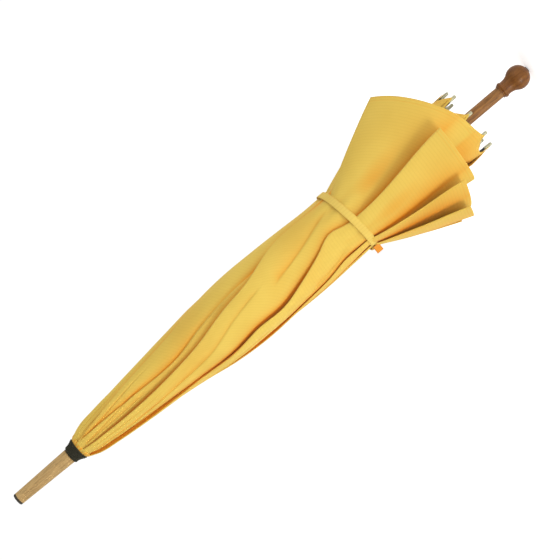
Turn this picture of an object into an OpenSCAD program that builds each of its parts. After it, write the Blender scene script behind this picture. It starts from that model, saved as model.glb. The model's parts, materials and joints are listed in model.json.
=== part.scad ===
// Closed stick umbrella: eight ribs, a sliding runner and a gored cloth canopy on a wooden shaft.
// +Z runs up the shaft to the ferrule. The origin is on the axis, halfway along the bare grip.

/* [Shaft] */
// Radius of the round wooden shaft
shaft_r = 7.2; // [6.9:0.1:7.25]
// Height of the shaft's lower end, where the knob seats
shaft_foot_z = -24; // [-40:1:-20]
// Height of the shaft's shoulder, where the ferrule seats
shaft_head_z = 642; // [641:0.5:643]
// Radius of the turned spigot at each end of the shaft
spigot_r = 4.5; // [3.5:0.1:5]

/* [Knob] */
// Radius of the knob's ball
ball_r = 14.9; // [14:0.1:16]
// Distance from the knob's seat down to the ball's centre
ball_drop = 27.4; // [27:0.1:28]
// Radius of the neck between the ball and the bead
neck_r = 9.1; // [9:0.1:9.5]
// Radius of the bead where the shaft enters the knob
bead_r = 10.1; // [10:0.1:10.6]
// Radius of the plug in the ball's end
plug_r = 3.8; // [3:0.1:4.5]

/* [Ferrule] */
// Length of the wooden ferrule above the shaft's shoulder
ferrule_len = 89; // [80:1:100]
// Radius of the ferrule where it leaves the crown binding
ferrule_root_r = 9.3; // [9:0.1:9.6]
// Radius of the ferrule at its outer end
ferrule_end_r = 7.65; // [7:0.05:8.5]
// Height of the dark cap on the ferrule's end
cap_h = 3.4; // [2:0.1:5]

/* [Crown] */
// Height of the rib pivots in the top notch
crown_z = 634; // [633.5:0.1:634.5]
// Radius of the ring wire that the ribs and the stretchers turn about
pivot_ring_r = 10.5; // [10.4:0.05:10.6]
// Outer radius of the slotted top notch
notch_r = 12; // [11.8:0.1:12.1]
// Height of the top notch
notch_h = 7; // [6:0.5:7]
// Radius of the crown ring wire
wire_r = 0.5; // [0.4:0.05:0.55]
// Radius of the crown binding where it meets the cloth
binding_root_r = 15.1; // [14.5:0.1:15.5]
// Height of the crown binding
binding_h = 16; // [15:0.5:16]

/* [Ribs] */
// Number of ribs
ribs = 8; // [8:1:8]
// Azimuth of the first rib about the shaft, in degrees
first_rib_az = 5; // [0:1:20]
// Length of a rib from its pivot to the end of its tip
rib_len = 611; // [605:1:615]
// Distance from the axis to a rib's tip when the umbrella is closed
closed_tip_r = 40; // [38:0.5:42]
// Width of the rib's channel section, around the shaft
rib_w = 3.2; // [3:0.1:3.4]
// Depth of the rib's channel section, away from the shaft
rib_d = 3; // [2.8:0.1:3.2]
// Wall of the rib and stretcher channels
channel_wall = 0.6; // [0.5:0.05:0.7]
// Length of the cap on a rib's tip
tip_len = 14; // [12:0.5:16]
// Radius of the cap on a rib's tip
tip_r = 2.1; // [1.9:0.1:2.3]

/* [Stretchers] */
// Length of a stretcher between its pivots, equal to the rib's length above its joint
link_len = 250; // [248:1:252]
// Inward offset of the stretcher's pivot from the rib's centre line
joint_offset = 3.8; // [3.7:0.05:4]
// Width of the stretcher's channel section
stretcher_w = 2.6; // [2.4:0.1:2.7]
// Depth of the stretcher's channel section
stretcher_d = 2.4; // [2.2:0.1:2.6]

/* [Runner] */
// Outer radius of the runner's tube
runner_tube_r = 8.6; // [8.4:0.05:8.7]
// Length of the runner's tube below its flange
runner_tube_len = 42; // [38:1:46]
// Outer radius of the runner's slotted flange
runner_flange_r = 12.3; // [12:0.1:12.6]
// Height of the runner's flange
runner_flange_h = 6; // [5.5:0.5:6.5]

/* [Catches] */
// Azimuth of both leaf catches about the shaft, in degrees
catch_az = 27.5; // [27:0.5:28]
// Height of the upper catch's shoulder
top_catch_z = 354.4; // [350:0.2:354.6]
// Height of the lower catch's shoulder
bottom_catch_z = 101; // [98:0.5:104]
// Length of a catch from its pivot to its shoulder
catch_len = 27; // [25:0.5:28]
// Distance from the axis to a catch's corner when it is out
catch_out_r = 9.3; // [8.8:0.1:9.4]

/* [Canopy] */
// Thickness of the furled cloth's wall
cloth_wall = 2.7; // [2.4:0.1:2.8]
// Radius of the furled cloth at its widest above the strap
belly_r = 46; // [45:0.5:48]
// Radius of the furled cloth under the strap
waist_r = 43.2; // [42:0.2:43.4]
// Radius of the furled cloth at its flare below the strap
flare_r = 88; // [80:1:95]

/* [Strap] */
// Height of the strap's middle
strap_z = 217; // [215:1:220]
// Width of the strap
strap_w = 10; // [8:0.5:12]
// Thickness of the strap
strap_t = 1.3; // [1:0.1:1.6]
// Slant of the strap about the furled cloth, in degrees
strap_slant = 4; // [0:1:5]
// Azimuth of the strap's button, in degrees
button_az = 150; // [140:1:165]
// Azimuth of the tab on the strap's free end, in degrees
tab_az = 196; // [190:1:200]

/* [Hidden] */
$fn = 64;
// Clearance of a part that is fixed in or on another
snug = 0.04;
// Radial clearance of a part that turns or slides
running = 0.06;
// How far a cutting shape runs past the surface it cuts
past = 1;

wood_pale = [0.72, 0.6, 0.42];
wood_brown = [0.56, 0.39, 0.22];
wood_knob = [0.53, 0.33, 0.15];
steel_dark = [0.35, 0.35, 0.36];
steel_bright = [0.7, 0.7, 0.68];
tip_grey = [0.72, 0.71, 0.58];
binding_dark = [0.18, 0.18, 0.13];
cloth_yellow = [0.94, 0.77, 0.36];
strap_yellow = [0.88, 0.68, 0.28];
tab_orange = [0.85, 0.5, 0.12];

rib_step = 360 / ribs;
half_step = rib_step / 2;
closed_rib_angle = asin((closed_tip_r - pivot_ring_r) / rib_len);
joint_drop = sqrt(link_len * link_len - joint_offset * joint_offset);
closed_link_angle = closed_rib_angle - atan(joint_offset / joint_drop);
runner_z = crown_z - 2 * link_len * cos(closed_link_angle);
joint_r = pivot_ring_r + link_len * sin(closed_link_angle);
joint_z = crown_z - link_len * cos(closed_link_angle);

tongue_t = 1.6;
tongue_len = 9;
eye_r = 1.7;
plate_t = 1.4;
fork_w = 3.4;
fork_slot_w = 1.8;
fork_len = 7;
pivot_pin_r = 0.6;
end_pin_r = 0.7;
end_pin_len = 4;
end_tongue_len = 8;

notch_slot_w = 2;
notch_slot_r = 8.5;
runner_slot_w = 3.1;
runner_slot_r = 8.75;
pocket_w = 4.5;
pocket_d = 2.2;
keyway_w = 2.6;
keyway_r = 9.7;

catch_t = 1.8;
catch_pivot_r = 4.5;
catch_pin_r = 0.7;
catch_pin_len = 9.6;
catch_slot_w = 2.2;
catch_slot_depth = 6.5;
catch_slot_margin = 3;
stop_pin_r = 1.2;
stop_pin_reach = 9.2;
stop_z = 404.6;

knob_top_z = shaft_foot_z;
ball_z = knob_top_z - ball_drop;
bead_h = 6.4;
bead_z = knob_top_z - bead_h / 2 - 0.8;
fillet_r = 16;
neck_flare = 3.5;
plug_len = 4;
knob_bore_depth = 20;
ferrule_bore_depth = 46;
ferrule_neck_r = 8.6;
ferrule_neck_h = 10.5;
binding_z = 636;
binding_top_r = 8.9;

// The furled cloth's outline, from the crown down to the hem: radius and height of each turn
cloth_top_z = 635.6;
cloth_profile = [
    [15.1, cloth_top_z],
    [21, 621],
    [30.3, 550],
    [38.6, 462],
    [belly_r - 1.5, 408],
    [belly_r, 372],
    [belly_r - 0.6, 300],
    [waist_r, 240],
    [waist_r, 205],
    [54, 186],
    [flare_r - 8, 130],
    [flare_r, 104],
    [flare_r - 5, 90],
    [50, 59],
    [45.4, 44],
];
half_gap = 0.5;

rib_nodes = [for (i = [1:ribs]) str("rib_", i)];
tip_nodes = [for (i = [1:ribs]) str("rib_tip_", i)];
stretcher_nodes = [for (i = [1:ribs]) str("stretcher_", i)];
left_nodes = [for (i = [1:ribs]) str("half_gore_", i, "_left")];
right_nodes = [for (i = [1:ribs]) str("half_gore_", i, "_right")];

// ---------- placing ----------

// Turn a shape drawn in the XZ plane to rib number i
module at_rib(i) {
    rotate([0, 0, first_rib_az + (i - 1) * rib_step]) children();
}

// Rib frame: its pivot at the origin and the rib running along -Z, leaned out from the shaft
module in_rib_frame(i) {
    at_rib(i) translate([pivot_ring_r, 0, crown_z]) rotate([0, -closed_rib_angle, 0]) children();
}

// Stretcher frame: its upper pivot at the origin and the bar running along -Z, leaned in
module in_stretcher_frame(i) {
    at_rib(i) translate([joint_r, 0, joint_z]) rotate([0, closed_link_angle, 0]) children();
}

// A cylinder across the shaft, along Y
module cross_pin(r, length) {
    rotate([90, 0, 0]) cylinder(r = r, h = length, center = true);
}

// ---------- shaft, knob and ferrule ----------

module catch_slot(z_low, z_high) {
    rotate([0, 0, catch_az])
        translate([shaft_r - catch_slot_depth, -catch_slot_w / 2, z_low])
            cube([catch_slot_depth + past, catch_slot_w, z_high - z_low]);
}

module catch_pin_hole(z) {
    rotate([0, 0, catch_az])
        translate([catch_pivot_r, 0, z])
            cross_pin(catch_pin_r + snug, 3 * shaft_r);
}

top_pivot_z = top_catch_z - catch_len;
bottom_pivot_z = bottom_catch_z + catch_len;

module shaft() {
    color(wood_brown)
    difference() {
        union() {
            translate([0, 0, shaft_foot_z]) cylinder(r = shaft_r, h = shaft_head_z - shaft_foot_z);
            translate([0, 0, shaft_foot_z - knob_bore_depth + past])
                cylinder(r = spigot_r, h = knob_bore_depth);
            translate([0, 0, shaft_head_z - past])
                cylinder(r = spigot_r, h = ferrule_bore_depth);
        }
        catch_slot(top_pivot_z - catch_slot_margin, top_catch_z + catch_slot_margin);
        catch_slot(bottom_catch_z - catch_slot_margin, bottom_pivot_z + catch_slot_margin);
        catch_pin_hole(top_pivot_z);
        catch_pin_hole(bottom_pivot_z);
        rotate([0, 0, catch_az]) translate([0, 0, stop_z]) cross_pin(stop_pin_r + snug, 3 * shaft_r);
    }
}

// Half outline of the knob: a ball, a waisted neck and a bead
module knob_outline() {
    fillet_x = neck_r + fillet_r;
    fillet_z = ball_z + sqrt(pow(ball_r + fillet_r, 2) - pow(fillet_x, 2));
    intersection() {
        union() {
            translate([0, ball_z]) circle(r = ball_r);
            difference() {
                translate([0, ball_z]) square([neck_r + neck_flare, knob_top_z - ball_z - bead_h / 2]);
                translate([fillet_x, fillet_z]) circle(r = fillet_r);
                translate([neck_r, fillet_z]) square([fillet_r, 3 * fillet_r]);
            }
            translate([0, bead_z - bead_h / 2]) square([bead_r - bead_h / 2, bead_h]);
            translate([bead_r - bead_h / 2, bead_z]) circle(r = bead_h / 2);
            translate([0, knob_top_z - 1.2]) square([8.6, 1.2]);
        }
        translate([0, ball_z - ball_r + 0.6]) square([2 * ball_r, 4 * ball_r]);
    }
}

module knob() {
    color(wood_knob)
    difference() {
        rotate_extrude() knob_outline();
        translate([0, 0, knob_top_z - knob_bore_depth])
            cylinder(r = spigot_r + snug, h = knob_bore_depth + past);
        translate([0, 0, ball_z - ball_r - past])
            cylinder(r = plug_r + snug, h = plug_len + past + snug);
    }
}

module knob_plug() {
    color(steel_dark)
    translate([0, 0, ball_z - ball_r - 0.2]) cylinder(r = plug_r, h = plug_len);
}

module ferrule() {
    color(wood_pale)
    difference() {
        union() {
            translate([0, 0, shaft_head_z]) cylinder(r = ferrule_neck_r, h = ferrule_neck_h + past);
            translate([0, 0, shaft_head_z + ferrule_neck_h])
                cylinder(r1 = ferrule_root_r, r2 = ferrule_end_r, h = ferrule_len - ferrule_neck_h);
        }
        translate([0, 0, shaft_head_z - past])
            cylinder(r = spigot_r + snug, h = ferrule_bore_depth + past);
    }
}

module ferrule_cap() {
    color(steel_dark)
    translate([0, 0, shaft_head_z + ferrule_len])
        rotate_extrude() polygon([
            [0, 0],
            [ferrule_end_r, 0],
            [ferrule_end_r, cap_h - 0.8],
            [ferrule_end_r - 0.8, cap_h],
            [0, cap_h],
        ]);
}

// ---------- crown ----------

module crown_binding() {
    color(binding_dark)
    translate([0, 0, binding_z])
        rotate_extrude() polygon([
            [notch_r + 0.3, 0],
            [binding_root_r, 0],
            [14.4, 2.4],
            [12.9, 4.8],
            [11.5, 7.2],
            [10.4, 11.5],
            [binding_top_r, binding_h],
            [ferrule_neck_r + snug, binding_h],
            [ferrule_neck_r + snug, 2.4],
            [notch_r + 0.3, 2],
        ]);
}

module radial_slot(i, inner_r, outer_r, w, z_low, z_high) {
    at_rib(i) translate([inner_r, -w / 2, z_low]) cube([outer_r - inner_r, w, z_high - z_low]);
}

module top_notch() {
    color(steel_bright)
    difference() {
        translate([0, 0, crown_z - notch_h / 2]) cylinder(r = notch_r, h = notch_h);
        translate([0, 0, crown_z - notch_h]) cylinder(r = shaft_r + snug, h = 2 * notch_h);
        for (i = [1:ribs])
            radial_slot(i, notch_slot_r, notch_r + past, notch_slot_w, crown_z - notch_h, crown_z + notch_h);
        translate([0, 0, crown_z])
            rotate_extrude()
                translate([pivot_ring_r - wire_r - snug, -wire_r - snug])
                    square([notch_r, 2 * (wire_r + snug)]);
    }
}

module crown_wire() {
    color(steel_dark)
    translate([0, 0, crown_z]) rotate_extrude() translate([pivot_ring_r, 0]) circle(r = wire_r, $fn = 24);
}

// ---------- ribs and stretchers ----------

module rib(i) {
    channel_end = rib_len - tip_len + 3;
    color(steel_dark)
    in_rib_frame(i)
    difference() {
        union() {
            cross_pin(eye_r, tongue_t);
            translate([-rib_d / 2, -tongue_t / 2, -tongue_len - 4]) cube([rib_d, tongue_t, tongue_len + 4]);
            difference() {
                translate([-rib_d / 2, -rib_w / 2, -channel_end])
                    cube([rib_d, rib_w, channel_end - tongue_len]);
                translate([-rib_d / 2 - past, -rib_w / 2 + channel_wall, -channel_end + 6])
                    cube([rib_d - channel_wall + past, rib_w - 2 * channel_wall, channel_end - tongue_len]);
            }
            translate([0, 0, -rib_len + 4]) cylinder(r = 1.2, h = tip_len, $fn = 32);
            translate([-joint_offset, 0, -joint_drop]) cross_pin(1.5, plate_t);
            translate([-joint_offset, -plate_t / 2, -joint_drop - 1.5])
                cube([joint_offset + rib_d / 2 - channel_wall / 2, plate_t, 3]);
        }
        cross_pin(wire_r + running + 0.04, tongue_t + past);
        translate([-joint_offset, 0, -joint_drop]) cross_pin(pivot_pin_r + running, plate_t + past);
    }
}

// The cap on a rib's tip, with the eye that the canopy's corner is sewn to
module rib_tip(i) {
    color(tip_grey)
    in_rib_frame(i)
    difference() {
        union() {
            translate([0, 0, -rib_len + tip_r]) cylinder(r = tip_r, h = tip_len - tip_r - 3 - snug, $fn = 32);
            translate([0, 0, -rib_len + tip_r]) sphere(r = tip_r, $fn = 32);
        }
        translate([0, 0, -rib_len + 4 - snug]) cylinder(r = 1.2 + snug, h = tip_len, $fn = 32);
        translate([0, 0, -rib_len + 2.4]) cross_pin(0.6, 3 * tip_r, $fn = 24);
    }
}

module stretcher(i) {
    color(steel_dark)
    in_stretcher_frame(i) {
        difference() {
            union() {
                cross_pin(1.6, fork_w);
                translate([-1.2, -fork_w / 2, -fork_len - 3]) cube([2.4, fork_w, fork_len + 3]);
            }
            translate([-3, -fork_slot_w / 2, -fork_len]) cube([6, fork_slot_w, fork_len + 3]);
        }
        cross_pin(pivot_pin_r, fork_w - 0.2);
        difference() {
            translate([-stretcher_d / 2, -stretcher_w / 2, -link_len + end_tongue_len])
                cube([stretcher_d, stretcher_w, link_len - fork_len - end_tongue_len]);
            translate([-stretcher_d / 2 + channel_wall, -stretcher_w / 2 + channel_wall, -link_len + 2 * end_tongue_len])
                cube([stretcher_d, stretcher_w - 2 * channel_wall, link_len - 3 * fork_len - end_tongue_len]);
        }
        translate([-stretcher_d / 2, -plate_t / 2, -link_len])
            cube([stretcher_d, plate_t, end_tongue_len + past]);
        translate([0, 0, -link_len]) cross_pin(1.4, plate_t);
        translate([0, 0, -link_len]) cross_pin(end_pin_r, end_pin_len);
    }
}

// ---------- runner and catches ----------

module runner() {
    flange_low = runner_z - runner_flange_h / 2;
    color(steel_bright)
    difference() {
        union() {
            translate([0, 0, flange_low]) cylinder(r = runner_flange_r, h = runner_flange_h);
            translate([0, 0, flange_low - runner_tube_len])
                cylinder(r = runner_tube_r, h = runner_tube_len + past);
        }
        translate([0, 0, flange_low - runner_tube_len - past])
            cylinder(r = shaft_r + running, h = runner_tube_len + runner_flange_h + 2 * past);
        for (i = [1:ribs]) {
            radial_slot(i, runner_slot_r, runner_flange_r + past, runner_slot_w,
                flange_low - past, flange_low + runner_flange_h + past);
            radial_slot(i, pivot_ring_r - pocket_d / 2, pivot_ring_r + pocket_d / 2, pocket_w,
                flange_low - past, runner_z + pocket_d / 2);
        }
        rotate([0, 0, catch_az])
            translate([0, -keyway_w / 2, flange_low - runner_tube_len - past])
                cube([keyway_r, keyway_w, runner_tube_len + runner_flange_h + 2 * past]);
    }
}

module runner_stop_pin() {
    color(steel_bright)
    rotate([0, 0, catch_az]) translate([0, 0, stop_z]) cross_pin(stop_pin_r, 2 * stop_pin_reach);
}

// A leaf catch in the XZ plane, its pivot at the origin and its shoulder facing +Z
module catch_leaf() {
    out = catch_out_r - catch_pivot_r;
    rotate([90, 0, 0])
    difference() {
        union() {
            cylinder(r = 1.6, h = catch_t, center = true);
            translate([0, 0, -catch_t / 2])
                linear_extrude(catch_t) polygon([
                    [-1.2, 0],
                    [1.4, 0],
                    [out, catch_len - 3],
                    [out, catch_len],
                    [out - 3.4, catch_len],
                    [out - 3.8, catch_len - 4],
                ]);
        }
        cylinder(r = catch_pin_r + running, h = catch_t + past, center = true);
    }
}

module top_catch() {
    color(steel_dark)
    rotate([0, 0, catch_az]) translate([catch_pivot_r, 0, top_pivot_z]) catch_leaf();
}

module bottom_catch() {
    color(steel_dark)
    rotate([0, 0, catch_az])
        translate([catch_pivot_r, 0, bottom_pivot_z])
            mirror([0, 0, 1]) catch_leaf();
}

module catch_pin(z) {
    color(steel_bright)
    rotate([0, 0, catch_az]) translate([catch_pivot_r, 0, z]) cross_pin(catch_pin_r, catch_pin_len);
}

module top_catch_pin() {
    catch_pin(top_pivot_z);
}

module bottom_catch_pin() {
    catch_pin(bottom_pivot_z);
}

// ---------- canopy and strap ----------

// The furled cloth's wall, turned about the shaft from one azimuth to another
module cloth_sector(from_az, to_az) {
    count = len(cloth_profile);
    inner = [for (k = [count - 1:-1:0]) [cloth_profile[k][0] - cloth_wall, cloth_profile[k][1]]];
    rotate([0, 0, from_az + half_gap / 2])
        rotate_extrude(angle = to_az - from_az - half_gap)
            polygon(concat(cloth_profile, inner));
}

module half_gore_left(i) {
    az = first_rib_az + (i - 1) * rib_step;
    color(cloth_yellow) cloth_sector(az, az + half_step);
}

module half_gore_right(i) {
    az = first_rib_az + (i - 1) * rib_step;
    color(cloth_yellow) cloth_sector(az + half_step, az + rib_step);
}

strap_inner_r = waist_r + 0.9;

module tie_strap() {
    color(strap_yellow)
    translate([0, 0, strap_z]) rotate([strap_slant, 0, 0])
    difference() {
        cylinder(r = strap_inner_r + strap_t, h = strap_w, center = true);
        cylinder(r = strap_inner_r, h = strap_w + past, center = true);
    }
}

// Place a flat piece on the strap's outside at an azimuth about the shaft
module on_strap(az, lift) {
    translate([0, 0, strap_z]) rotate([strap_slant, 0, 0]) rotate([0, 0, az])
        translate([strap_inner_r + strap_t + lift, 0, 0]) rotate([0, 90, 0]) children();
}

module strap_button() {
    color(steel_dark) on_strap(button_az, 1.6) cylinder(r = 3.2, h = 1.4);
}

module strap_tab() {
    color(tab_orange) on_strap(tab_az, 0.4)
        translate([-3, -4.5, 0]) cube([16, 9, 1.1]);
}

// ---------- the umbrella ----------

shaft();
knob();
knob_plug();
ferrule();
ferrule_cap();
crown_binding();
top_notch();
crown_wire();
runner();
runner_stop_pin();
top_catch();
top_catch_pin();
bottom_catch();
bottom_catch_pin();
for (i = [1:ribs]) {
    rib(i);
    rib_tip(i);
    stretcher(i);
    half_gore_left(i);
    half_gore_right(i);
}
tie_strap();
strap_button();
strap_tab();
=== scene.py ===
import json
import math

import bpy
import numpy as np
from mathutils import Matrix, Vector


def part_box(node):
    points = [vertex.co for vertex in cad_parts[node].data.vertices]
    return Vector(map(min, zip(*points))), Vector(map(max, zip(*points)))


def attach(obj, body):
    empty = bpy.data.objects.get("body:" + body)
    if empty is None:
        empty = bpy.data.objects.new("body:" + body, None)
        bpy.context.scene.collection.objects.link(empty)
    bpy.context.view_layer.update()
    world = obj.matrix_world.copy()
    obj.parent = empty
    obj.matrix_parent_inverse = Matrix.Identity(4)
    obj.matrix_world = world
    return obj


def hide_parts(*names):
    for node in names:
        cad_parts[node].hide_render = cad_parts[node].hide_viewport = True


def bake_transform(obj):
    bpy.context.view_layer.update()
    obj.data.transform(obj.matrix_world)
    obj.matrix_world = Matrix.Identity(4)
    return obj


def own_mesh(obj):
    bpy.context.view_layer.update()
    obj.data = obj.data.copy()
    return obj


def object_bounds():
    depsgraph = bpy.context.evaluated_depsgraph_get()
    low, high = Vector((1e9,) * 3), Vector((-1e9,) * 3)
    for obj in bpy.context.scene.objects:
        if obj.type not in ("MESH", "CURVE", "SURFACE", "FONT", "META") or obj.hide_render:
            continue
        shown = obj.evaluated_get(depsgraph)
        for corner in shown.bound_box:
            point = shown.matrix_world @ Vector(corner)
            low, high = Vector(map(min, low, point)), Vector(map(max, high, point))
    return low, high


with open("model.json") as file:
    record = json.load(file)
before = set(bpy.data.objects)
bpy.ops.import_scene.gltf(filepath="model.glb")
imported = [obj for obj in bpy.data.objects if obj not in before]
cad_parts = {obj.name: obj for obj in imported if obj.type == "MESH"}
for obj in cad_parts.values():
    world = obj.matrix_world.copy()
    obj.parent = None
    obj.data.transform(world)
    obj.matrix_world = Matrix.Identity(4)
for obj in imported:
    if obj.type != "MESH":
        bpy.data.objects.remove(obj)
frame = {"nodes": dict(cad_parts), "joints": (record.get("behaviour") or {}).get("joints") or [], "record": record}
cad_low, cad_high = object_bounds()

MM = 0.001
TAU = 2 * math.pi
JOINTS = {joint["name"]: joint for joint in frame["joints"]}
GORES = range(1, 9)

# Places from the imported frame: azimuths in degrees, heights and box corners in millimetres
RIB_AZ = {i: math.degrees(math.atan2(*JOINTS[f"rib_{i}_hinge"]["pos_m"][1::-1])) for i in GORES}
CROWN_Z = JOINTS["rib_1_hinge"]["pos_m"][2] / MM
STRAP_LOW, STRAP_HIGH = (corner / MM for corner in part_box("tie_strap"))
STRAP_Z = (STRAP_LOW.z + STRAP_HIGH.z) / 2
BINDING_LOW, BINDING_HIGH = (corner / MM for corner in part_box("crown_binding"))

# The closed rib: its distance from the axis at its hinge, how fast that grows down the rib, the
# height where the cloth ends on it, and the degrees from one rib to the next
RIB_ROOT_R = 10.5
RIB_RATE = 0.0483
TIP_Z = 30
RIB_STEP = 45


# ---------- small helpers ----------

def unit(v):
    """v at length 1."""
    return v / np.linalg.norm(v)


def smooth(t):
    """0 to 1 with a soft start and end."""
    t = np.clip(t, 0, 1)
    return t * t * (3 - 2 * t)


def bump_at(x, middle, width):
    """A soft bump, 1 at the middle."""
    return np.exp(-(((x - middle) / width) ** 2))


def curve(points, at):
    """A smooth curve through (position, value) points."""
    x, y = np.array(sorted(points), float).T
    slope = np.gradient(y, x)
    at = np.clip(at, x[0], x[-1])
    k = np.clip(np.searchsorted(x, at) - 1, 0, len(x) - 2)
    h = x[k + 1] - x[k]
    t = (at - x[k]) / h
    rising = slope[k] * t * (1 - t) ** 2 + slope[k + 1] * t * t * (t - 1)
    return y[k] * (1 + 2 * t) * (1 - t) ** 2 + y[k + 1] * t * t * (3 - 2 * t) + h * rising


def round_shaft(radius, azimuth, z):
    """Points in metres from a radius and a height in millimetres and an azimuth in degrees."""
    a = np.radians(azimuth)
    radius, a, z = np.broadcast_arrays(radius, a, z)
    return np.stack([radius * np.cos(a), radius * np.sin(a), z], -1) * MM


def grid_piece(name, points, material, closed_across=False):
    """A smooth mesh over a grid of points, rows first."""
    rows, columns = points.shape[:2]
    index = np.arange(rows * columns).reshape(rows, columns)
    if closed_across:
        index = np.concatenate([index, index[:, :1]], 1)
    quads = np.stack([index[:-1, :-1], index[:-1, 1:], index[1:, 1:], index[1:, :-1]], -1).reshape(-1, 4)
    mesh = bpy.data.meshes.new(name)
    mesh.from_pydata(points.reshape(-1, 3).tolist(), [], quads.tolist())
    mesh.shade_smooth()
    mesh.materials.append(material)
    piece = bpy.data.objects.new(name, mesh)
    bpy.context.scene.collection.objects.link(piece)
    return piece


def give_attribute(piece, name, values, kind="FLOAT"):
    """Store one number or one vector for each vertex."""
    attribute = piece.data.attributes.new(name, kind, "POINT")
    key = "value" if kind == "FLOAT" else "vector"
    attribute.data.foreach_set(key, np.asarray(values, np.float32).ravel())


def thicken(piece, thickness):
    """Give a cloth grid its thickness in millimetres."""
    modifier = piece.modifiers.new("thickness", "SOLIDIFY")
    modifier.thickness = thickness * MM
    modifier.offset = 0


def lengths_along(points):
    """Distance in millimetres down each column of a grid, from its last row."""
    steps = np.linalg.norm(np.diff(points, axis=0), axis=-1) / MM
    return np.concatenate([np.cumsum(steps[::-1], 0)[::-1], np.zeros((1, points.shape[1]))])


# ---------- materials ----------

class Looks:
    """A new node material with a Principled shader, and short ways to add nodes to it."""

    def __init__(self, name, colour, roughness, **settings):
        self.material = bpy.data.materials.new(name)
        self.material.use_nodes = True
        self.tree = self.material.node_tree
        self.shader = self.tree.nodes["Principled BSDF"]
        self.shader.inputs["Base Color"].default_value = (*colour, 1)
        self.shader.inputs["Roughness"].default_value = roughness
        for socket, value in settings.items():
            self.shader.inputs[socket.replace("_", " ").title()].default_value = value

    def add(self, kind, links=(), **settings):
        node = self.tree.nodes.new("ShaderNode" + kind)
        for key, value in settings.items():
            setattr(node, key, value)
        for socket, value in links:
            if isinstance(value, bpy.types.NodeSocket):
                self.tree.links.new(value, node.inputs[socket])
            else:
                node.inputs[socket].default_value = value
        return node

    def link(self, output, socket):
        self.tree.links.new(output, self.shader.inputs[socket])

    def place(self, scale):
        """The piece's own place, in metres, scaled on each axis."""
        coordinates = self.add("TexCoord").outputs["Object"]
        return self.add("Mapping", [("Vector", coordinates), ("Scale", scale)]).outputs["Vector"]

    def noise(self, vector, scale=1.0, detail=3.0, roughness=0.5):
        made = self.add("TexNoise", [("Vector", vector), ("Scale", scale), ("Detail", detail),
                                     ("Roughness", roughness)])
        return made.outputs["Fac"]

    def ramp(self, value, stops):
        made = self.add("ValToRGB", [("Fac", value)])
        elements = made.color_ramp.elements
        while len(elements) < len(stops):
            elements.new(0.5)
        for element, (position, colour) in zip(elements, stops):
            element.position = position
            element.color = (*colour, 1) if len(colour) == 3 else colour
        return made.outputs["Color"]

    def maths(self, operation, a, b=0.0, clamp=False):
        return self.add("Math", [(0, a), (1, b)], operation=operation, use_clamp=clamp).outputs[0]

    def mix(self, factor, a, b, blend="MIX"):
        made = self.add("Mix", [(0, factor), (6, a), (7, b)], data_type="RGBA", blend_type=blend)
        return made.outputs[2]

    def bump(self, height, strength, distance):
        made = self.add("Bump", [("Height", height), ("Strength", strength), ("Distance", distance)])
        self.link(made.outputs["Normal"], "Normal")


def grey(level):
    return (level, level, level)


def wood(name, pale, mid, dark, roughness, coat=0.0, fleck=0.5):
    """Straight-grained wood whose grain runs along Z, with short dark flecks."""
    looks = Looks(name, mid, roughness, coat_weight=coat, coat_roughness=0.18)
    looks.shader.inputs["Specular IOR Level"].default_value = 0.3
    grain = looks.noise(looks.place((260, 260, 9)), detail=5, roughness=0.6)
    colour = looks.ramp(grain, [(0.28, dark), (0.5, mid), (0.72, pale)])
    flecks = looks.noise(looks.place((900, 900, 70)), detail=2)
    marks = looks.ramp(flecks, [(0.36, grey(fleck)), (0.47, grey(1.0))])
    colour = looks.mix(0.8, colour, marks, "MULTIPLY")
    worn = looks.ramp(looks.noise(looks.place((40, 40, 14))), [(0.3, grey(0.86)), (0.7, grey(1.0))])
    colour = looks.mix(1.0, colour, worn, "MULTIPLY")
    height = looks.maths("ADD", looks.maths("MULTIPLY", grain, 0.5), flecks)
    looks.link(colour, "Base Color")
    looks.link(looks.ramp(flecks, [(0.3, grey(roughness + 0.15)), (0.7, grey(roughness))]), "Roughness")
    looks.bump(height, 0.25, 0.15 * MM)
    return looks.material


def metal(name, colour, roughness, metallic=1.0, brushed=(500, 500, 40)):
    """Brushed or painted metal with faint tarnish."""
    looks = Looks(name, colour, roughness, metallic=metallic)
    tarnish = looks.noise(looks.place((60, 60, 60)), detail=4)
    deep = [0.72 * c for c in colour]
    looks.link(looks.ramp(tarnish, [(0.35, deep), (0.65, colour)]), "Base Color")
    lines = looks.noise(looks.place(brushed), detail=2)
    spread = looks.ramp(lines, [(0.3, grey(max(roughness - 0.08, 0.05))), (0.7, grey(roughness + 0.12))])
    looks.link(spread, "Roughness")
    looks.bump(lines, 0.12, 0.05 * MM)
    return looks.material


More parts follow.
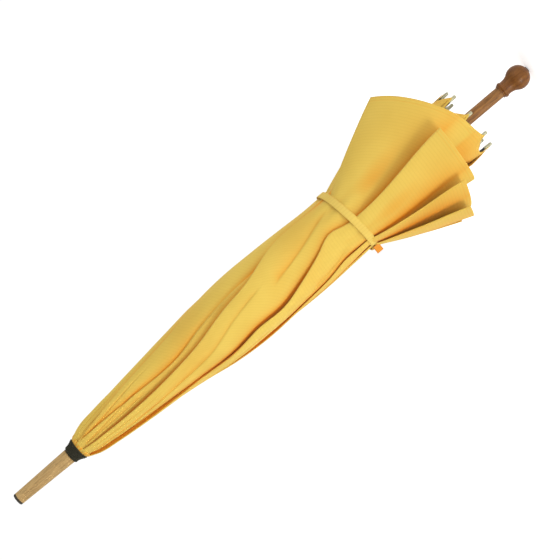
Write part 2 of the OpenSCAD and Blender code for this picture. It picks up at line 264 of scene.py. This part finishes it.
def cloth(name, base, deep, stripe_pitch=4.2, stripe=0.08, hem=True):
    """Fine plain-woven cloth with faint ribs across it and a stitched hem."""
    looks = Looks(name, base, 0.85, sheen_weight=0.06, sheen_roughness=0.5)
    looks.shader.inputs["Specular IOR Level"].default_value = 0.12
    _, along, hem_away = looks.add(
        "SeparateXYZ", [(0, looks.add("Attribute", attribute_name="cloth").outputs["Vector"])]).outputs
    fold = looks.add("Attribute", attribute_name="depth").outputs["Fac"]

    def waves(value, pitch):
        turned = looks.maths("MULTIPLY", value, TAU / pitch)
        return looks.maths("ADD", looks.maths("MULTIPLY", looks.maths("SINE", turned), 0.5), 0.5)

    ribs = looks.maths("POWER", waves(along, stripe_pitch), 4.0)
    weft = waves(along, 1.05)
    # Painted shade: where the 'depth' attribute is high the colour turns to the deep colour, which on the canopy
    # and frill stands in for shade in creases, folds and tucked layers
    colour = looks.mix(fold, (*base, 1), (*deep, 1))
    mottle = looks.noise(looks.place((22, 22, 16)), detail=4)
    colour = looks.mix(1.0, colour, looks.ramp(mottle, [(0.3, (0.93, 0.90, 0.84)), (0.7, grey(1.0))]),
                       "MULTIPLY")
    faint = looks.maths("MULTIPLY", ribs, stripe)
    colour = looks.mix(faint, colour, (0.55 * base[0], 0.45 * base[1], 0.4 * base[2], 1))
    height = looks.maths("SUBTRACT", looks.maths("MULTIPLY", weft, 0.4), looks.maths("MULTIPLY", ribs, 0.6))
    if hem:
        for line in (2.2, 6.0):
            near = looks.maths("ABSOLUTE", looks.maths("SUBTRACT", hem_away, line))
            seam = looks.maths("SUBTRACT", 1.0, looks.maths("MULTIPLY", near, 2.2), clamp=True)
            colour = looks.mix(looks.maths("MULTIPLY", seam, 0.4), colour, (*deep, 1))
            height = looks.maths("SUBTRACT", height, looks.maths("MULTIPLY", seam, 2.0))
    looks.link(colour, "Base Color")
    looks.bump(height, 0.35, 0.12 * MM)
    return looks.material


def cord(name, dark, light):
    """Wound dark cord with a twist in it."""
    looks = Looks(name, dark, 0.8)
    looks.shader.inputs["Specular IOR Level"].default_value = 0.2
    strands = looks.noise(looks.place((700, 700, 1400)), detail=3)
    looks.link(looks.ramp(strands, [(0.35, dark), (0.68, light)]), "Base Color")
    looks.bump(strands, 0.6, 0.3 * MM)
    return looks.material


# The yellow cloth's deep orange is its painted shade, and also the colour of its hem stitches
CLOTH = cloth("yellow_cloth", (0.745, 0.527, 0.102), (0.80, 0.26, 0.009))
STRAP_CLOTH = cloth("strap_cloth", (0.75, 0.54, 0.12), (0.60, 0.32, 0.04), stripe=0.12, hem=False)
TAB_CLOTH = cloth("tab_cloth", (0.75, 0.28, 0.03), (0.5, 0.14, 0.01), stripe_pitch=2.1, hem=False)
SHAFT_WOOD = wood("shaft_wood", pale=(0.40, 0.188, 0.052), mid=(0.31, 0.136, 0.032),
                  dark=(0.18, 0.067, 0.015), roughness=0.45, coat=0.04, fleck=0.45)
KNOB_WOOD = wood("knob_wood", pale=(0.27, 0.102, 0.013), mid=(0.205, 0.070, 0.007),
                 dark=(0.13, 0.038, 0.004), roughness=0.4, coat=0.05, fleck=0.75)
FERRULE_WOOD = wood("ferrule_wood", pale=(0.60, 0.40, 0.165), mid=(0.51, 0.325, 0.125),
                    dark=(0.36, 0.20, 0.07), roughness=0.6, fleck=0.6)
END_METAL = metal("end_metal", (0.09, 0.08, 0.065), 0.45)
BRIGHT_STEEL = metal("bright_steel", (0.62, 0.61, 0.58), 0.3)
RIB_STEEL = metal("rib_steel", (0.07, 0.07, 0.072), 0.42)
TIP_PAINT = metal("tip_cap", (0.47, 0.45, 0.29), 0.4, metallic=0.35)
BINDING = cord("binding_cord", (0.014, 0.013, 0.007), (0.045, 0.042, 0.024))

FINISHES = {
    "shaft_wood": SHAFT_WOOD, "knob_wood": KNOB_WOOD, "ferrule_wood": FERRULE_WOOD,
    "end_metal": END_METAL, "binding": BINDING, "bright_steel": BRIGHT_STEEL,
    "rib_steel": RIB_STEEL, "tip_cap": TIP_PAINT, "cloth": CLOTH,
    "strap_cloth": STRAP_CLOTH, "tab_cloth": TAB_CLOTH,
}


def finish_cad_nodes():
    """Every carried-over CAD node takes the material of its slot in the record."""
    for subpart in frame["record"]["subparts"]:
        node = frame["nodes"][subpart["node"]]
        node.data.materials.clear()
        node.data.materials.append(FINISHES[subpart["material_slot"]])


# ---------- the furled cloth ----------

# The cloth's top edge, the height where its furled upper part ends and its flared lower part begins,
# and the hem's radius at its inner end
CLOTH_TOP = 635.6
FURL_BOTTOM = STRAP_Z - 5
HEM_ROOT_R = 43

# The furled body's radius at each height, the degrees that a flap's outer layer spans there and at the
# hem, and the share of the radius by which it dips where it is tucked under its neighbour
HEIGHTS = [636, 550, 470, 380, 300, 218]
SILHOUETTE = [(636, 15.1), (621, 21.2), (597, 25.2), (550, 30.5), (500, 35), (462, 38.8), (430, 43),
              (406, 45), (375, 46.4), (330, 46), (285, 45.4), (240, 43.9), (222, 43.4), (205, 43.4)]
SPAN = list(zip(HEIGHTS, [58, 66, 76, 84, 88, 88]))
DIP = [(636, 0.25), (560, 0.24), (470, 0.18), (300, 0.16), (218, 0.11)]
HEM_SPAN = 92

# For each gore: how far round the shaft its fold edge lies past its rib, in degrees at each of HEIGHTS
# and at the hem, then the corner's radius and height, the height of the hem's inner end, and the powers
# with which the hem's radius (bow) and height (lift) change towards the corner
BASE_EDGE = [52, 66, 80, 105, 128, 146]
FLAPS = {
    1: dict(edge=[52, 66, 80, 108, 134, 158], hem=178, corner=(89, 112), bow=0.3, root_z=88, lift=1.2),
    2: dict(edge=[52, 66, 80, 106, 132, 152], hem=163, corner=(97, 98), bow=0.3, root_z=96, lift=1.0),
    3: dict(edge=[50, 60, 70, 86, 108, 124], hem=137, corner=(85, 85), bow=0.15, root_z=104, lift=0.9),
    4: dict(edge=[50, 60, 72, 90, 110, 128], hem=140, corner=(73, 69), bow=0.2, root_z=71, lift=1.0),
    5: dict(edge=[66, 69, 82, 106, 134, 147], hem=159, corner=(97, 102), bow=1.3, root_z=36, lift=2.3),
    6: dict(edge=[60, 86, 100, 130, 144, 152], hem=165, corner=(88, 110), bow=1.0, root_z=64, lift=1.1),
    7: dict(edge=BASE_EDGE, hem=160, corner=(88, 100), bow=1.0, root_z=72, lift=1.5),
    8: dict(edge=BASE_EDGE, hem=158, corner=(90, 104), bow=1.0, root_z=74, lift=1.5),
}

# Where a fold edge strays from its smooth course: heights and degrees
STRAY = {
    3: [(200, 0), (224, 2), (250, 6), (280, 0), (330, 0)],
    4: [(190, 0), (218, -2), (246, 10), (270, 2), (303, -6), (338, -11), (381, 0), (420, -3), (470, 0)],
    5: [(240, 0), (300, 4), (350, -3), (400, 2), (450, 0)],
}
NO_STRAY = [(200, 0), (600, 0)]

# Extra creases: each one's flap, its depth, and the heights and degrees past the rib along it
CREASES = [
    (6, 2.6, [(628, 59), (600, 57), (552, 54), (477, 52), (433, 65), (380, 75), (330, 82), (243, 94)]),
    (5, 1.6, [(628, 30), (565, 34), (500, 48), (440, 62), (400, 80), (340, 96)]),
    (6, 1.5, [(628, 34), (565, 36), (520, 40)]),
    (4, 1.6, [(600, 30), (540, 36), (470, 48), (410, 60), (360, 66)]),
    (5, 1.5, [(330, 84), (290, 96), (240, 118), (221, 128)]),
    (4, 1.7, [(300, 72), (262, 84), (221, 104)]),
]

# How many degrees wide a crease's step down is, and the way back up past it
CREASE_SHARP = 2.2
CREASE_SOFT = 9

# How deep a crease has to be for its full painted shade, and how high the flutes below the strap are
FULL_SHADE_DEPTH = 2.6
FLUTE_HEIGHT = 2.6

# The grid of a flap: rows above and below the strap, and columns in the tucked, outer and inner parts
UPPER_ROWS = 84
LOWER_ROWS = 56
HIDDEN_COLUMNS = 12
COLUMNS = 60
INNER_COLUMNS = 49

# The inner layer: its distance under the outer one, its pleats' size and number, and the height
# below the cloth's top over which they fade in
LAYER_GAP = 1.3
PLEAT_SIZE = {3: 4.6, 4: 3.8}
USUAL_PLEAT = 2.9
PLEATS = 6
PLEATS_FADE = 130

# How far the cloth stands over its rib's line, how far a flap's hem rises just past its own rib,
# and the cloth's thickness
OVER_RIB = 3.2
SCALLOP = {5: 12}
FLAP_THICKNESS = 0.35


def rib_radius(z):
    """The closed rib's distance from the axis."""
    return RIB_ROOT_R + (CROWN_Z - z) * RIB_RATE


def fold_edge(i, z):
    """Degrees from flap i's rib to its fold edge, above the strap."""
    return curve(list(zip(HEIGHTS, FLAPS[i]["edge"])), z) + curve(STRAY.get(i, NO_STRAY), z)


def upper_part(i, u):
    """Radius, azimuth and height of flap i's outer layer from the crown to the strap."""
    t = np.linspace(0, 1, UPPER_ROWS)[:, None]
    z = CLOTH_TOP + (FURL_BOTTOM - CLOTH_TOP) * (0.35 * t * t + 0.65 * t)
    edge = fold_edge(i, z)
    root = np.maximum(2, edge - curve(SPAN, z))
    radius = curve(SILHOUETTE, z) * (1 - curve(DIP, z) * (1 - u) ** 1.2)
    return radius, root + (edge - root) * u, z + 0 * u


def lower_part(i, u, strap_radius, strap_rel):
    """Radius, azimuth and height of flap i's outer layer from the strap to the hem."""
    shape = FLAPS[i]
    t = np.linspace(0, 1, LOWER_ROWS + 1)[1:, None]
    corner_r, corner_z = shape["corner"]
    hem_r = HEM_ROOT_R + (corner_r - HEM_ROOT_R) * u ** shape["bow"]
    hem_z = shape["root_z"] + (corner_z - shape["root_z"]) * u ** shape["lift"]
    hem_rel = shape["hem"] - HEM_SPAN * (1 - u)
    radius = strap_radius + (hem_r - strap_radius) * t ** 0.92
    rel = strap_rel + (hem_rel - strap_rel) * smooth(t)
    return radius, rel, FURL_BOTTOM + (hem_z - FURL_BOTTOM) * t


def folded_edge(rel, edge):
    """A step down just before an edge, in degrees, which comes back up softly past it."""
    past = rel - edge
    return -smooth((past + CREASE_SHARP) / CREASE_SHARP) * np.exp(-np.maximum(past, 0) / CREASE_SOFT)


def folds(i, u, rel, z, hem_share):
    """Radial height in millimetres of the creases in flap i."""
    below = smooth((STRAP_Z - z) / 60)
    middle = smooth((CROWN_Z - z - 60) / 120) * (1 - below)
    height = 0 * rel
    for flap, depth, line in CREASES:
        if flap == i:
            bottom, top = line[-1][0], line[0][0]
            present = smooth((z - bottom) / 25) * smooth((top + 4 - z) / 12)
            height += depth * present * folded_edge(rel, curve(line, z))
    crown = smooth((CROWN_Z - z) / 25) * (1 - smooth((CROWN_Z - z - 60) / 90))
    for k, place in enumerate((0.55, 0.8)):
        height -= crown * bump_at(u, place + 0.03 * math.sin(5 * i + 2 * k), 0.03)
    gather = bump_at(z, STRAP_Z, 22)
    height += 1.1 * gather * np.sin(TAU * (u * 3.1 + 0.13 * i))
    flute = below * (1 - 0.45 * hem_share)
    height += FLUTE_HEIGHT * flute * np.sin(TAU * (u * 1.3 + 0.21 * i)) * smooth(u / 0.3)
    return height + 0.5 * np.sin(z / 31 + 4 * u + i) * middle


def covering_edge(i, upper_z, down):
    """Down both parts of flap i, the degrees from the covering flap's own rib to its fold edge."""
    over = (i - 2) % len(GORES) + 1
    upper = fold_edge(over, upper_z)
    return np.concatenate([upper, upper[-1:] + (FLAPS[over]["hem"] - upper[-1:]) * smooth(down)])


def same_place(wanted, rel, values):
    """values of each row at other azimuths along that row."""
    return np.stack([np.interp(w, r, v) for w, r, v in zip(wanted, rel, values)])


def make_flap(i):
    """Gore i folded in two and wound round the shaft: an outer layer from its own rib out to the
    fold, and an inner layer back to the next rib."""
    u = np.linspace(0, 1, COLUMNS)[None, :] ** 0.9
    above = upper_part(i, u)
    below = lower_part(i, u, above[0][-1:], above[1][-1:])
    radius, rel, z = (np.concatenate(parts) for parts in zip(above, below))
    down = np.linspace(0, 1, LOWER_ROWS + 1)[1:, None]
    hem_share = np.concatenate([np.zeros((UPPER_ROWS, 1)), down])
    height = folds(i, u, rel, z, hem_share)
    radius = np.maximum(radius + height, rib_radius(z) + OVER_RIB)

    # Painted shade: the cloth's colour darkens beside the edge of the flap that covers it, where that flap's
    # shadow falls, and in its own creases
    past_cover = rel - (covering_edge(i, above[2][:, :1], down) - RIB_STEP)
    fade = np.where(past_cover > 0, 6 + 14 * hem_share, 5)
    strength = (0.5 + 0.5 * smooth((CLOTH_TOP - z) / 260)) * (1 - 0.75 * hem_share ** 3)
    shaded = strength * np.exp(-np.abs(past_cover) / fade)
    painted_shade = np.maximum(0.8 * np.clip(-height / FULL_SHADE_DEPTH, 0, 1) ** 1.5 * (1 - hem_share), shaded)

    # The part from the rib out to the outer layer
    rib_z = np.concatenate([above[2][:, :1], FURL_BOTTOM + (TIP_Z - FURL_BOTTOM) * down])
    rib_r = rib_radius(rib_z) + OVER_RIB
    v = np.linspace(0, 1, HIDDEN_COLUMNS, endpoint=False)[None, :]
    radius = np.concatenate([rib_r + (radius[:, :1] - rib_r) * v ** 0.8, radius], 1)
    scallop = SCALLOP.get(i, 0) * hem_share ** 2 * np.sin(math.pi * np.minimum(v / 0.66, 1)) ** 0.7
    z = np.concatenate([rib_z + (z[:, :1] - rib_z) * v + scallop, z], 1)
    rel = np.concatenate([rel[:, :1] * v, rel], 1)

    # The inner layer, from the fold back to the next rib
    w = np.linspace(0, 1, INNER_COLUMNS)[None, :]
    inner_rel = rel[:, -1:] + (RIB_STEP - rel[:, -1:]) * w
    over = same_place(inner_rel, rel, radius)
    inner_radius = (over - LAYER_GAP) * (1 - w ** 1.5) + rib_r * w ** 1.5
    fading = (1 - hem_share ** 2) * smooth((CLOTH_TOP - z[:, :1]) / PLEATS_FADE)
    pleat = PLEAT_SIZE.get(i, USUAL_PLEAT) * fading * np.sin(math.pi * w)
    inner_radius = inner_radius - pleat * (1 - np.cos(TAU * PLEATS * w))
    inner_z = same_place(inner_rel, rel, z)
    inner_z = inner_z + (rib_z - inner_z) * w ** 6
    turn = np.degrees(0.55 * LAYER_GAP / radius[:, -1:])
    points = round_shaft(
        np.concatenate([radius, radius[:, -1:] - LAYER_GAP / 2, inner_radius], 1),
        RIB_AZ[i] + np.concatenate([rel, rel[:, -1:] + turn, inner_rel], 1),
        np.concatenate([z, z[:, -1:], inner_z], 1),
    )
    piece = grid_piece(f"canopy_flap_{i}", points, CLOTH)

    along = lengths_along(points)
    steps = np.linalg.norm(np.diff(points[UPPER_ROWS], axis=0), axis=-1) / MM
    across = np.concatenate([[0], np.cumsum(steps)])[None, :] + 0 * along
    give_attribute(piece, "cloth", np.stack([across, along, along], -1), "FLOAT_VECTOR")
    # Painted shade: the tucked part by the rib and the inner layer are darkened towards deep orange, less so near
    # the hem, and the fold itself a little
    tucked_painted_shade = 0.9 - 0.75 * hem_share ** 3 * np.ones(HIDDEN_COLUMNS)
    inner_painted_shade = 0.8 - 0.7 * smooth(4 * hem_share) * np.ones(INNER_COLUMNS)
    give_attribute(piece, "depth", np.concatenate([tucked_painted_shade, painted_shade, 0.1 + 0 * turn, inner_painted_shade], 1))
    thicken(piece, FLAP_THICKNESS)
    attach(piece, f"rib_{i}")

    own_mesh(piece)
    return piece


# ---------- the cloth on each side of a rib ----------

# The flat half gore's angle at its apex, the width beside its rib over which it is turned only part
# way when furled, and the distances from the apex to a fan's hem at its rib and to its upper end
GORE_HALF_ANGLE = math.radians(19.912)
BLEND_WIDTH = 13.5 * MM
TIP_REACH = 619 * MM
FAN_START = 16 * MM

# How far a fan stands off its plane, sags in its middle, and curves in at its hem
FAN_LIFT = 2.2 * MM
FAN_SAG = 5 * MM
HEM_CURVE = 9 * MM
FAN_ROWS = 60
FAN_COLUMNS = 24
HALVINGS = 45


def rib_of(i, side):
    """The rib that half a gore is sewn to."""
    return i if side == "left" else i % len(GORES) + 1


def gore_frame(i, side):
    """Rest frame of half a gore: its rib's pivot, its outer normal, the way down the rib, and the apex."""
    joint = JOINTS[f"half_gore_{i}_{side}_fan"]
    pivot = np.array(JOINTS[f"rib_{rib_of(i, side)}_hinge"]["pos_m"])
    apex = np.array(joint["pos_m"])
    out = unit(np.array(joint["axis"])) * (1 if side == "left" else -1)
    return pivot, out, unit(pivot - apex), apex


def turned(v, axis, angle):
    """v turned about axis by each angle."""
    c, s = np.cos(angle)[..., None], np.sin(angle)[..., None]
    return v * c + np.cross(axis, v) * s + axis * (v @ axis)[..., None] * (1 - c)


def make_fan(i, side):
    """Half of gore i, sewn to one rib: the flat half from its rib to the gore's middle, turned into a narrow strip
    as when furled.
    """
    pivot, out, down, apex = gore_frame(i, side)
    rib = rib_of(i, side)
    axis = out if side == "left" else -out
    sideways = np.cross(axis, down)
    azimuth = math.radians(RIB_AZ[rib])
    radial = np.array([math.cos(azimuth), math.sin(azimuth), 0])
    rib_out = unit(radial - (radial @ down) * down)

    gamma = np.linspace(0, GORE_HALF_ANGLE, FAN_COLUMNS)[None, :]
    share = gamma / GORE_HALF_ANGLE
    t = np.linspace(0, 1, FAN_ROWS)[:, None]
    hem = TIP_REACH * math.cos(GORE_HALF_ANGLE) / np.cos(GORE_HALF_ANGLE - gamma)
    inward = np.sin(math.pi * share / 2) ** 2
    hem = hem - HEM_CURVE * inward
    reach = FAN_START + (hem - FAN_START) * t
    flat = reach[..., None] * (np.cos(gamma)[..., None] * down + np.sin(gamma)[..., None] * sideways)
    sag = -FAN_SAG * np.sin(math.pi * t) * inward
    at_rib = (1 - smooth(share * 4))[..., None]
    lift = FAN_LIFT * (at_rib * rib_out + (1 - at_rib) * out) + sag[..., None] * out
    spread = flat + lift

    low, high = np.zeros(spread.shape[:2]), np.ones(spread.shape[:2])
    for _ in range(HALVINGS):
        weight = (low + high) / 2
        across = turned(spread, axis, -weight * GORE_HALF_ANGLE) @ sideways
        too_low = smooth(across / BLEND_WIDTH) > weight
        low, high = np.where(too_low, weight, low), np.where(too_low, high, weight)
    furled = turned(spread, axis, -low * GORE_HALF_ANGLE)

    piece = grid_piece(f"canopy_{i}_{side}", apex + furled, CLOTH)
    along = (hem - reach) / MM
    cloth_across = reach * np.sin(gamma) / MM
    give_attribute(piece, "cloth", np.stack([cloth_across, along, along], -1), "FLOAT_VECTOR")
    give_attribute(piece, "depth", np.zeros(along.shape))
    thicken(piece, 0.3)
    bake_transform(piece)
    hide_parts(f"half_gore_{i}_{side}")
    return piece


# ---------- strap, button and tab ----------

# The strap's radius, and how far it lies below its CAD solid's middle
STRAP_WIDTH = 10
STRAP_R = 44.3
STRAP_DROP = 1.5
TAB_WIDTH = 9
BUTTON_AZ = 150
TAB_AZ = 196
STUD_R = 46
STUD_LIFT = 4.1

# The strap slants down towards the camera, as in CAD, and by a further tilt towards the tab
STRAP_SLANT = math.radians(4)
STRAP_TILT = math.tan(math.radians(6.5))

# The radius that turns azimuth into length along the weave, and a place clear of any hem stitches
WEAVE_R = 45
NO_HEM = 9


def strap_ring(azimuth, lift, height):
    """Points on the slanted strap at an azimuth, lifted off the cloth, at a height across its width."""
    wobble = 0.5 * np.sin(np.radians(3 * azimuth)) + 0.35 * np.sin(np.radians(7 * azimuth + 40))
    points = round_shaft(STRAP_R + wobble + lift, azimuth, height)
    y, z = points[..., 1].copy(), points[..., 2].copy()
    points[..., 1] = y * math.cos(STRAP_SLANT) - z * math.sin(STRAP_SLANT)
    level = (STRAP_Z - STRAP_DROP) * MM + points[..., 0] * STRAP_TILT
    points[..., 2] = y * math.sin(STRAP_SLANT) + z * math.cos(STRAP_SLANT) + level
    return points


def on_rib_one(piece):
    """Sew a strap piece to the first rib."""
    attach(piece, "rib_1")
    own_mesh(piece)


def band_section(width, thickness, corners=10):
    """Outline of a flat band with rounded edges: lift and height round it."""
    turn = np.linspace(0, TAU, 2 * corners, endpoint=False)
    height = np.sign(np.cos(turn)) * np.abs(np.cos(turn)) ** 0.35 * width / 2
    lift = np.sign(np.sin(turn)) * np.abs(np.sin(turn)) ** 0.8 * thickness / 2
    return lift, height


def make_band(name, from_az, to_az, width, thickness, lift, material):
    """A length of flat band round the strap's path."""
    count = max(8, int(abs(to_az - from_az) / 2))
    t = np.linspace(0, 1, count)[:, None]
    azimuth = from_az + (to_az - from_az) * t
    section_lift, section_height = band_section(width, thickness)
    end = np.sqrt(np.clip(np.sin(math.pi * np.clip(t, 0.004, 0.996)) * 6, 0.02, 1))
    points = strap_ring(azimuth, lift(azimuth) + section_lift[None, :] * end, section_height[None, :])
    piece = grid_piece(name, points, material, closed_across=True)
    run = azimuth * TAU / 360 * WEAVE_R
    values = np.stack(np.broadcast_arrays(section_height[None, :], run, NO_HEM + 0 * run), -1)
    give_attribute(piece, "cloth", values, "FLOAT_VECTOR")
    from_middle = np.abs(section_height[None, :])
    inside_edge = smooth((from_middle - width * 0.36) / (width * 0.1))
    at_edge = smooth((from_middle - width * 0.46) / 0.5)
    give_attribute(piece, "depth", 0.35 * inside_edge * (1 - at_edge) + 0 * run)
    return piece


def make_strap():
    """The tie strap: once round the furled cloth, its end lapped over its start, with button and tab."""
    def lapped(azimuth):
        return 0.9 + 1.3 * smooth((azimuth - TAB_AZ - 320) / 30)

    def standing(azimuth):
        return 3.0 + 6.5 * smooth((TAB_AZ + 4 - azimuth) / 16)

    strap = make_band("strap_band", TAB_AZ - 50, TAB_AZ + 364, STRAP_WIDTH, 1.1, lapped, STRAP_CLOTH)
    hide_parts("tie_strap")
    on_rib_one(strap)
    tab = make_band("strap_end_tab", TAB_AZ + 6, TAB_AZ - 12, TAB_WIDTH, 1.0, standing, TAB_CLOTH)
    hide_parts("strap_tab")
    on_rib_one(tab)
    button = make_button()
    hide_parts("strap_button")
    on_rib_one(button)


def make_button():
    """A domed press stud on the strap."""
    outline = [(0.0, 1.5), (1.2, 1.45), (2.4, 1.1), (3.0, 0.6), (3.1, 0.1), (2.9, -0.2), (0.0, -0.2)]
    turn = np.linspace(0, TAU, 32, endpoint=False)[None, :]
    distance, lift = (np.array(values)[:, None] for values in zip(*outline))
    azimuth = BUTTON_AZ + np.degrees(distance * np.cos(turn) / STUD_R)
    points = strap_ring(azimuth, STUD_LIFT + lift, distance * np.sin(turn))
    return grid_piece("strap_stud", points, END_METAL, closed_across=True)


# ---------- crown ----------

# The binding cord's radius, and how often it goes round
CORD_R = 1.15
CORD_TURNS = 7


def make_binding():
    """Cord wound in close turns from the cloth up to the ferrule."""
    bottom, top = BINDING_LOW.z + 1.0, BINDING_HIGH.z - 0.6
    t = np.linspace(0, 1, CORD_TURNS * 40)
    z = bottom + (top - bottom) * t
    profile = [(bottom, 14.0), (bottom + 3, 13.0), (bottom + 6.5, 11.3), (bottom + 10.5, 10.3), (top, 9.9)]
    radius = curve(profile, z) + 0.08 * np.sin(37 * t)
    turn = np.linspace(0, TAU, 10, endpoint=False)[None, :]
    slim = np.minimum(1, 14 * np.minimum(t, 1 - t) + 0.15)[:, None]
    around = radius[:, None] + CORD_R * slim * np.cos(turn)
    height = z[:, None] + CORD_R * slim * np.sin(turn)
    points = round_shaft(around, (360 * CORD_TURNS * t)[:, None], height)
    coil = grid_piece("crown_cord", points, BINDING, closed_across=True)
    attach(coil, "shaft")
    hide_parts("crown_binding")


def make_frill():
    """The cloth's gathered edge, which stands out below the binding and caps the gores' points."""
    azimuth = np.linspace(0, 360, 241)[None, :-1]
    t = np.linspace(0, 1, 14)[:, None]
    pleat = np.sin(np.radians(23 * azimuth + 30 * np.sin(np.radians(2 * azimuth))))
    uneven = np.sin(np.radians(5 * azimuth + 20))
    radius = 13.2 + 2.6 * np.sin(math.pi * 0.62 * t) + (0.45 * pleat + 0.25 * uneven) * t
    height = BINDING_LOW.z + 1.6 - 5.6 * t - (0.5 * uneven + 0.3 * pleat) * t
    points = round_shaft(radius, azimuth, height)
    frill = grid_piece("crown_frill", points, CLOTH, closed_across=True)
    run = np.radians(azimuth) * 15
    values = np.stack(np.broadcast_arrays(run, 5.6 * (1 - t), 5.6 * (1 - t)), -1)
    give_attribute(frill, "cloth", values, "FLOAT_VECTOR")
    # Painted shade: the frill's colour darkens towards the hollows between its pleats
    give_attribute(frill, "depth", np.clip(0.35 - 0.4 * pleat, 0, 1) + 0 * t)
    thicken(frill, 0.3)
    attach(frill, "shaft")


# ---------- light, floor and camera ----------

# How far the picture is turned, and its directions in the frame
ROLL = math.radians(40.2)
IMAGE_RIGHT = Vector((-math.sin(ROLL), 0, -math.cos(ROLL)))
IMAGE_UP = Vector((math.cos(ROLL), 0, -math.sin(ROLL)))
TOWARDS_CAMERA = Vector((0, -1, 0))

# Lens and sensor in millimetres; in metres, the width that the view takes in at the object, the
# floor's radius, and how far it lies below the knob
LENS = 100
SENSOR = 36
VIEW_WIDTH = 0.672
FLOOR_R = 7
FLOOR_GAP = 1 * MM


def aim_point():
    """The middle of the view, just below the object's middle."""
    middle = (cad_low + cad_high) / 2
    return middle + Vector((-1.7 * MM, 0, -10.6 * MM))


def make_camera():
    data = bpy.data.cameras.new("camera")
    data.lens = LENS
    data.sensor_width = SENSOR
    camera = bpy.data.objects.new("camera", data)
    bpy.context.scene.collection.objects.link(camera)
    camera.location = aim_point() + TOWARDS_CAMERA * (VIEW_WIDTH * LENS / SENSOR)
    axes = (IMAGE_RIGHT, IMAGE_UP, TOWARDS_CAMERA)
    rotation = [[axis[row] for axis in axes] for row in range(3)]
    camera.rotation_mode = "QUATERNION"
    camera.rotation_quaternion = Matrix(rotation).to_quaternion()
    bpy.context.scene.camera = camera


def soft_light(name, direction, distance, size, watts, colour=(1, 1, 1)):
    """An area light that faces the object from a direction."""
    data = bpy.data.lights.new(name, "AREA")
    data.shape = "DISK"
    data.size = size
    data.energy = watts
    data.color = colour
    light = bpy.data.objects.new(name, data)
    bpy.context.scene.collection.objects.link(light)
    way = direction.normalized()
    light.location = aim_point() + way * distance
    light.rotation_mode = "QUATERNION"
    light.rotation_quaternion = way.to_track_quat("Z", "Y")


def make_studio():
    """A white surround, a pale floor under the knob, and soft lights."""
    world = bpy.data.worlds.new("studio")
    bpy.context.scene.world = world
    world.use_nodes = True
    tree = world.node_tree
    background = tree.nodes["Background"]
    background.inputs["Color"].default_value = (1, 1, 1, 1)
    path = tree.nodes.new("ShaderNodeLightPath")
    level = tree.nodes.new("ShaderNodeMapRange")
    level.inputs["To Min"].default_value = 0.52
    level.inputs["To Max"].default_value = 1.05
    tree.links.new(path.outputs["Is Camera Ray"], level.inputs["Value"])
    tree.links.new(level.outputs["Result"], background.inputs["Strength"])

    under = (0, 0, cad_low.z - FLOOR_GAP)
    bpy.ops.mesh.primitive_circle_add(vertices=96, radius=FLOOR_R, fill_type="NGON", location=under)
    floor = bpy.context.object
    floor.name = "floor"
    looks = Looks("floor_white", (0.93, 0.93, 0.93), 0.9)
    looks.shader.inputs["Emission Color"].default_value = (1, 1, 1, 1)
    looks.shader.inputs["Emission Strength"].default_value = 0.55
    floor.data.materials.append(looks.material)

    soft_light("key", 0.75 * IMAGE_RIGHT - 0.55 * IMAGE_UP + 0.9 * TOWARDS_CAMERA, 1.9, 0.7, 22)
    soft_light("fill", -0.8 * IMAGE_RIGHT + 0.7 * IMAGE_UP + 0.8 * TOWARDS_CAMERA, 2.2, 1.4, 5)
    soft_light("overhead", Vector((0.1, 0.2, 1)), 2.0, 1.2, 8)
    soft_light("behind", Vector((-0.5, 1, 0.5)), 2.2, 1.2, 10)
    bpy.context.scene.view_settings.view_transform = "Standard"


# ---------- the umbrella ----------

finish_cad_nodes()
make_binding()
make_frill()
flaps = {i: make_flap(i) for i in GORES}
for i in GORES:
    fans = [make_fan(i, side) for side in ("left", "right")]
make_strap()
make_camera()
make_studio()
